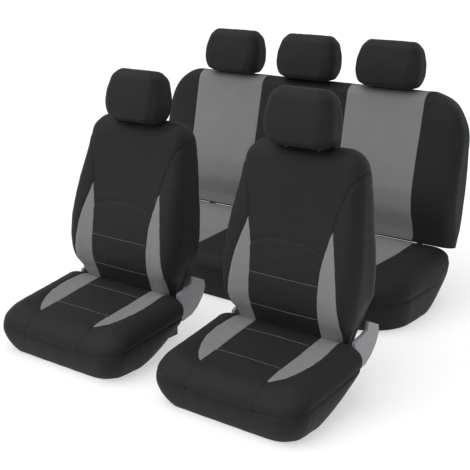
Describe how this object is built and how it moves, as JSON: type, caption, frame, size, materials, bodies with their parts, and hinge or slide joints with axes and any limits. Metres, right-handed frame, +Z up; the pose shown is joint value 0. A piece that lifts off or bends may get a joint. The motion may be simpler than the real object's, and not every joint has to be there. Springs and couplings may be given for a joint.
{
  "type": "fitted car seat cover set",
  "caption": "Two-tone padded covers fitted on reclining front seats and on a folding rear bench, each with its own covered headrests on posts.",
  "frame": {"origin": "middle of the set's footprint, on the floor plane", "axes": "+X towards the car's left side, +Y towards the car's rear so the seats face -Y, +Z up"},
  "size_m": [1.601, 1.4622, 1.0254],
  "materials": {
    "black_cloth": "smooth black cover cloth with a faint sheen",
    "foam": "matt open-cell foam",
    "black_steel": "satin black paint",
    "bright_steel": "polished",
    "black_plastic": "fine grain",
    "grey_plastic": "fine grain",
    "black_elastic": "woven elastic"
  },
  "bodies": {
    "seats": {"driver_cushion_cover": "black_cloth", "driver_cushion_foam": "foam", "driver_cushion_pan": "black_steel", "driver_cushion_strap": "black_elastic", "driver_recliner_shaft": "black_steel", "driver_left_recliner_trim": "grey_plastic", "driver_right_recliner_trim": "grey_plastic", "passenger_cushion_cover": "black_cloth", "passenger_cushion_foam": "foam", "passenger_cushion_pan": "black_steel", "passenger_cushion_strap": "black_elastic", "passenger_recliner_shaft": "black_steel", "passenger_left_recliner_trim": "grey_plastic", "passenger_right_recliner_trim": "grey_plastic", "rear_cushion_cover": "black_cloth", "rear_cushion_foam": "foam", "rear_cushion_base": "black_steel", "rear_cushion_strap": "black_elastic", "rear_right_hinge_bracket": "black_steel", "rear_left_hinge_bracket": "black_steel", "rear_right_hinge_pin": "black_steel", "rear_left_hinge_pin": "black_steel"},
    "driver_backrest": {"driver_backrest_cover": "black_cloth", "driver_backrest_foam": "foam", "driver_backrest_frame": "black_steel", "driver_headrest_guide_left": "black_plastic", "driver_headrest_guide_right": "black_plastic"},
    "driver_headrest": {"driver_headrest_cover": "black_cloth", "driver_headrest_foam": "foam", "driver_headrest_posts": "bright_steel"},
    "passenger_backrest": {"passenger_backrest_cover": "black_cloth", "passenger_backrest_foam": "foam", "passenger_backrest_frame": "black_steel", "passenger_headrest_guide_left": "black_plastic", "passenger_headrest_guide_right": "black_plastic"},
    "passenger_headrest": {"passenger_headrest_cover": "black_cloth", "passenger_headrest_foam": "foam", "passenger_headrest_posts": "bright_steel"},
    "rear_right_headrest": {"rear_right_headrest_cover": "black_cloth", "rear_right_headrest_foam": "foam", "rear_right_headrest_posts": "bright_steel"},
    "rear_middle_headrest": {"rear_middle_headrest_cover": "black_cloth", "rear_middle_headrest_foam": "foam", "rear_middle_headrest_posts": "bright_steel"},
    "rear_left_headrest": {"rear_left_headrest_cover": "black_cloth", "rear_left_headrest_foam": "foam", "rear_left_headrest_posts": "bright_steel"},
    "rear_backrest": {"rear_backrest_cover": "black_cloth", "rear_backrest_foam": "foam", "rear_backrest_frame": "black_steel", "rear_right_headrest_guide_left": "black_plastic", "rear_right_headrest_guide_right": "black_plastic", "rear_middle_headrest_guide_left": "black_plastic", "rear_middle_headrest_guide_right": "black_plastic", "rear_left_headrest_guide_left": "black_plastic", "rear_left_headrest_guide_right": "black_plastic"}
  },
  "joints": [
    {"name": "driver_recline", "type": "hinge", "parent": "seats", "child": "driver_backrest", "pos_m": [0.5245, -0.27911, 0.15], "axis": [-1, 0, 0], "range_deg": [0, 35]},
    {"name": "driver_headrest_height", "type": "slide", "parent": "driver_backrest", "child": "driver_headrest", "axis": [0, 0.1219, 0.9925], "range_m": [0, 0.06]},
    {"name": "passenger_recline", "type": "hinge", "parent": "seats", "child": "passenger_backrest", "pos_m": [-0.1955, -0.27911, 0.15], "axis": [-1, 0, 0], "range_deg": [0, 32]},
    {"name": "passenger_headrest_height", "type": "slide", "parent": "passenger_backrest", "child": "passenger_headrest", "axis": [0, 0.1736, 0.9848], "range_m": [0, 0.06]},
    {"name": "rear_backrest_fold", "type": "hinge", "parent": "seats", "child": "rear_backrest", "pos_m": [-0.0845, 0.65289, 0.288], "axis": [-1, 0, 0], "range_deg": [-62, 0]},
    {"name": "rear_right_headrest_height", "type": "slide", "parent": "rear_backrest", "child": "rear_right_headrest", "axis": [0, 0.1564, 0.9877], "range_m": [0, 0.06]},
    {"name": "rear_middle_headrest_height", "type": "slide", "parent": "rear_backrest", "child": "rear_middle_headrest", "axis": [0, 0.1564, 0.9877], "range_m": [0, 0.06]},
    {"name": "rear_left_headrest_height", "type": "slide", "parent": "rear_backrest", "child": "rear_left_headrest", "axis": [0, 0.1564, 0.9877], "range_m": [0, 0.06]}
  ]
}
